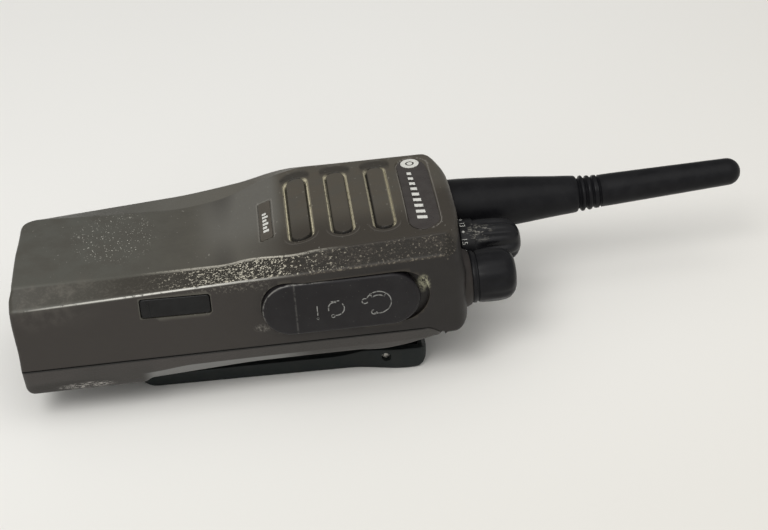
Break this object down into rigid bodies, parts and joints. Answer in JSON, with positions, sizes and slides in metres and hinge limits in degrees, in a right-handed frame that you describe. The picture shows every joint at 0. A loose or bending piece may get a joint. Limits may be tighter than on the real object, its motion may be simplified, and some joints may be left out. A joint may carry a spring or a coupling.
{
  "type": "two way radio",
  "caption": "Handheld two way radio lying on its belt clip, with stubby antenna, deck knobs, push-to-talk side, dust cover and slide-off battery.",
  "frame": {"origin": "middle of the box the radio fills, at the flat outer face of the belt clip that it lies on", "axes": "+X along the body towards the antenna tip, +Y towards the push-to-talk side, +Z out of the front face"},
  "size_m": [0.2229, 0.0627, 0.0501],
  "materials": {
    "housing_plastic": "fine spark texture, worn",
    "battery_plastic": "fine spark texture",
    "satin_black": "satin",
    "gloss_plate": "gloss",
    "clip_plastic": "satin",
    "rubber": "satin moulded",
    "cloth": "woven",
    "steel": "plated",
    "alloy": "die cast",
    "brass": "plated",
    "circuit_board": "solder mask",
    "lens": "clear moulded"
  },
  "bodies": {
    "radio": {"front_housing": "housing_plastic", "name_plate": "gloss_plate", "model_badge": "gloss_plate", "side_insert": "satin_black", "light_lens": "lens", "grille_cloth": "cloth", "speaker_frame": "steel", "speaker_cone": "cloth", "speaker_magnet": "steel", "speaker_retainer": "steel", "microphone_boot": "rubber", "microphone": "steel", "main_board": "circuit_board", "front_shield": "steel", "rear_shield": "steel", "chassis": "alloy", "chassis_seal": "rubber", "board_screw_1": "steel", "board_screw_2": "steel", "board_screw_3": "steel", "board_screw_4": "steel", "contact_block": "satin_black", "contact_springs": "brass", "jack_block": "satin_black", "small_jack": "brass", "large_jack": "brass", "dust_cover_anchor": "rubber", "ptt_bezel": "satin_black", "side_switch_board": "circuit_board", "channel_switch": "steel", "channel_nut": "brass", "volume_switch": "steel", "volume_nut": "brass", "antenna_sheath": "rubber", "antenna_stud": "brass", "antenna_bushing": "brass", "antenna_coil": "brass", "latch_spring": "steel"},
    "battery": {"battery_case": "battery_plastic", "battery_cover": "battery_plastic", "battery_cell_1": "alloy", "battery_cell_2": "alloy", "battery_board": "circuit_board", "battery_pads": "brass", "clip_bracket": "clip_plastic", "clip_pin": "steel", "clip_spring": "steel"},
    "belt_clip": {"clip_arm": "clip_plastic"},
    "channel_selector": {"channel_knob": "satin_black", "channel_shaft": "steel"},
    "volume_control": {"volume_knob": "satin_black", "volume_shaft": "steel"},
    "talk_button": {"ptt_button": "rubber"},
    "upper_button": {"side_button_upper": "rubber"},
    "lower_button": {"side_button_lower": "rubber"},
    "dust_flap": {"dust_cover_flap": "rubber"},
    "latch": {"battery_latch": "satin_black"}
  },
  "joints": [
    {"name": "channel_turn", "type": "hinge", "parent": "radio", "child": "channel_selector", "pos_m": [0.0198, 0, 0.0297], "axis": [1, 0, 0], "range_deg": [-22.5, 315]},
    {"name": "volume_turn", "type": "hinge", "parent": "radio", "child": "volume_control", "pos_m": [0.0205, -0.0183, 0.0297], "axis": [1, 0, 0], "range_deg": [-270, 0]},
    {"name": "talk_press", "type": "slide", "parent": "radio", "child": "talk_button", "axis": [0, -1, 0], "range_m": [0, 0.0012], "stiffness_N_per_m": 1500, "springref_m": -0.0004},
    {"name": "upper_press", "type": "slide", "parent": "radio", "child": "upper_button", "axis": [0, -1, 0], "range_m": [0, 0.0007], "stiffness_N_per_m": 2000, "springref_m": -0.0003},
    {"name": "lower_press", "type": "slide", "parent": "radio", "child": "lower_button", "axis": [0, -1, 0], "range_m": [0, 0.0007], "stiffness_N_per_m": 2000, "springref_m": -0.0003},
    {"name": "flap_open", "type": "hinge", "parent": "radio", "child": "dust_flap", "pos_m": [-0.0315, -0.0314, 0.0332], "axis": [0, 0, -1], "range_deg": [0, 150], "stiffness_Nm_per_rad": 0.003},
    {"name": "battery_slide", "type": "slide", "parent": "radio", "child": "battery", "axis": [-1, 0, 0], "range_m": [0, 0.012]},
    {"name": "clip_open", "type": "hinge", "parent": "battery", "child": "belt_clip", "pos_m": [-0.006, 0, 0.0044], "axis": [0, -1, 0], "range_deg": [0, 15], "stiffness_Nm_per_rad": 0.6, "springref_deg": -20.05},
    {"name": "latch_slide", "type": "slide", "parent": "radio", "child": "latch", "axis": [0, 0, 1], "range_m": [0, 0.003], "stiffness_N_per_m": 500, "springref_m": -0.002, "deforming": ["latch_spring"]}
  ]
}
